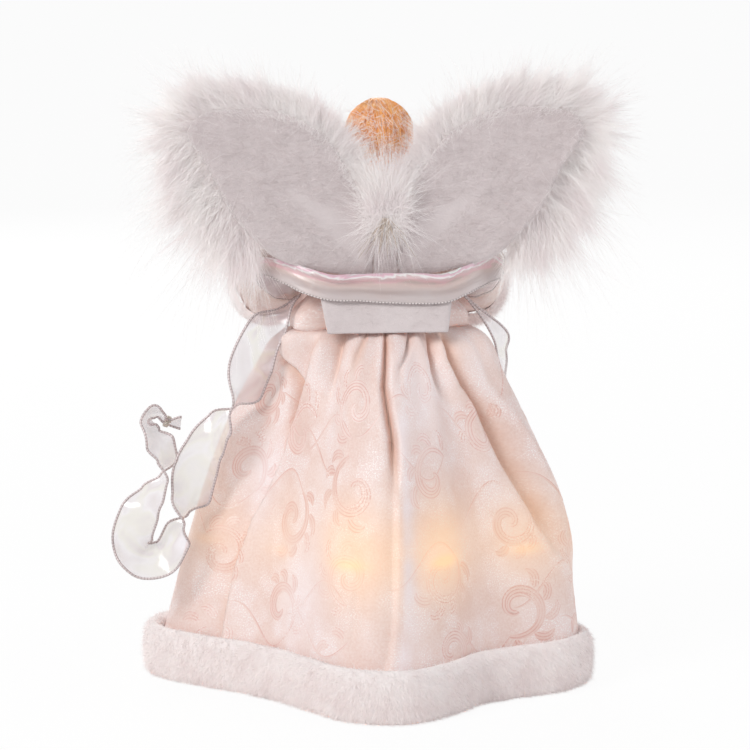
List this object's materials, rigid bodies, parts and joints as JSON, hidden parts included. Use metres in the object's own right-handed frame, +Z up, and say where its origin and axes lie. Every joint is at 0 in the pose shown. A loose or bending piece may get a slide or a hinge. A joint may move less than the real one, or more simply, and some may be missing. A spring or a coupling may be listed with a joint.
{
  "type": "angel tree topper",
  "caption": "Lighted angel tree topper in a white brocade gown with fur trim, felt wings edged in marabou that fold at the spine, and a sheer wired ribbon stole.",
  "frame": {"origin": "on the support cone's axis, in the plane where the cone's rim and the hem rest", "axes": "+Z up along the cone's axis, -Y to the figure's front, +X to the figure's left arm"},
  "size_m": [0.2368, 0.207, 0.2871],
  "materials": {
    "cone_plastic": "moulded white plastic, semi-matt",
    "holder_plastic": "white moulded lamp holder",
    "lamp_glass": "clear miniature lamp, warm white",
    "wire_sleeve": "white wire insulation",
    "torso_plastic": "moulded plastic form",
    "brocade": "satin brocade, pale blush scrolls with glitter",
    "fur": "short white plush fur",
    "felt": "white felt",
    "marabou": "white marabou down",
    "skin_vinyl": "painted vinyl, soft sheen",
    "hair_fibre": "amber doll hair, glossy",
    "steel": "drawn wire",
    "ribbon_film": "sheer iridescent ribbon with silver wired edges",
    "thread": "silver thread"
  },
  "bodies": {
    "figure": {"support_cone": "cone_plastic", "lamp_holder_01": "holder_plastic", "lamp_holder_02": "holder_plastic", "lamp_holder_03": "holder_plastic", "lamp_holder_04": "holder_plastic", "lamp_holder_05": "holder_plastic", "lamp_holder_06": "holder_plastic", "lamp_holder_07": "holder_plastic", "lamp_holder_08": "holder_plastic", "lamp_holder_09": "holder_plastic", "lamp_holder_10": "holder_plastic", "lamp_bulb_01": "lamp_glass", "lamp_bulb_02": "lamp_glass", "lamp_bulb_03": "lamp_glass", "lamp_bulb_04": "lamp_glass", "lamp_bulb_05": "lamp_glass", "lamp_bulb_06": "lamp_glass", "lamp_bulb_07": "lamp_glass", "lamp_bulb_08": "lamp_glass", "lamp_bulb_09": "lamp_glass", "lamp_bulb_10": "lamp_glass", "lamp_wire": "wire_sleeve", "torso": "torso_plastic", "bodice": "brocade", "skirt": "brocade", "hem_fur": "fur", "waist_tab": "felt", "wing_spine": "felt", "spine_tuft": "marabou", "head": "skin_vinyl", "hair": "hair_fibre", "sash": "ribbon_film", "left_sleeve": "brocade", "left_cuff": "fur", "left_arm_wire": "steel", "left_hand": "skin_vinyl", "left_ribbon_loop": "ribbon_film", "left_ribbon_tail": "ribbon_film", "left_ribbon_tie": "thread", "right_sleeve": "brocade", "right_cuff": "fur", "right_arm_wire": "steel", "right_hand": "skin_vinyl", "right_ribbon_loop": "ribbon_film", "right_ribbon_tail": "ribbon_film", "right_ribbon_tie": "thread"},
    "left_wing": {"left_wing_felt": "felt", "left_wing_boa": "marabou"},
    "right_wing": {"right_wing_felt": "felt", "right_wing_boa": "marabou"}
  },
  "joints": [
    {"name": "left_wing_fold", "type": "hinge", "parent": "figure", "child": "left_wing", "pos_m": [0.0053, 0.0238, 0.23], "axis": [0, 0, 1], "range_deg": [-10, 20]},
    {"name": "right_wing_fold", "type": "hinge", "parent": "figure", "child": "right_wing", "pos_m": [-0.0053, 0.0238, 0.23], "axis": [0, 0, -1], "range_deg": [-10, 20]}
  ]
}
